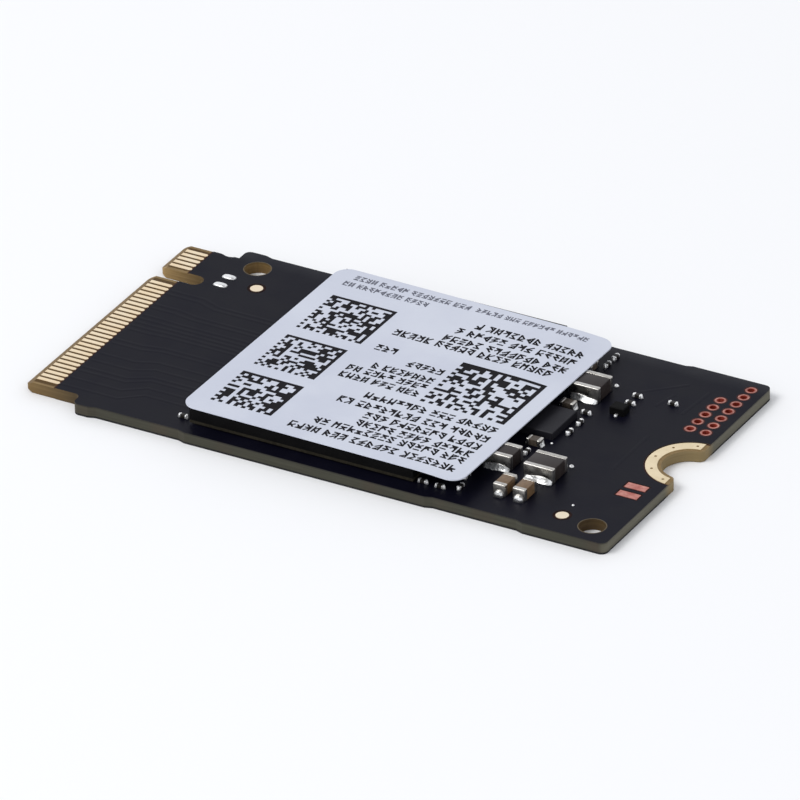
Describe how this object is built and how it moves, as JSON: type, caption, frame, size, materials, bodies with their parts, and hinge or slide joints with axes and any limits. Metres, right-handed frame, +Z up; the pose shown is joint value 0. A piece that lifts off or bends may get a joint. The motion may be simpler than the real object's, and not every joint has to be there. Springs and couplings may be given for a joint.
{
  "type": "gumstick solid state drive",
  "caption": "Flat keyed plug-in card with gold edge contacts, a moulded flash package under a paper label, small power parts and a half-round screw notch at its end.",
  "frame": {"origin": "middle of the board's under face, on the surface that the card lies on", "axes": "+X from the card edge to the screw notch, +Y towards the long edge beside the key slot, +Z up from the under face to the label"},
  "size_m": [0.042, 0.022, 0.0021],
  "materials": {
    "board": "satin black mask on brown laminate",
    "gold": "satin gold plating",
    "copper": "bare copper under thin varnish",
    "solder": "bright solder",
    "end_cap": "matte tin",
    "mould": "matte black mould",
    "carrier": "laminate edge",
    "label": "satin pale grey",
    "inductor": "matte grey brown",
    "tan_ceramic": "matte tan",
    "dark_ceramic": "matte dark"
  },
  "bodies": {
    "root": {"circuit_board": "board", "edge_contacts_top": "gold", "edge_contacts_under": "gold", "screw_pad_top": "gold", "screw_pad_under": "gold", "alignment_marks": "gold", "test_bars": "copper", "test_rings": "copper", "empty_pad_solder": "solder", "solder_dots": "solder", "flash_balls": "solder", "transistor_leads": "solder", "transistor_solder": "solder", "large_inductor_solder": "solder", "short_inductor_solder": "solder", "tan_capacitor_solder": "solder", "bypass_capacitor_solder": "solder", "chip_part_solder": "solder", "large_inductor_end_caps": "end_cap", "short_inductor_end_caps": "end_cap", "tan_capacitor_end_caps": "end_cap", "bypass_capacitor_end_caps": "end_cap", "chip_part_end_caps": "end_cap", "flash_body": "mould", "power_chip": "mould", "transistor_body": "mould", "flash_carrier": "carrier", "label": "label", "large_inductor_bodies": "inductor", "short_inductor_bodies": "inductor", "tan_capacitor_bodies": "tan_ceramic", "bypass_capacitor_bodies": "tan_ceramic", "chip_part_bodies": "dark_ceramic"}
  },
  "joints": []
}
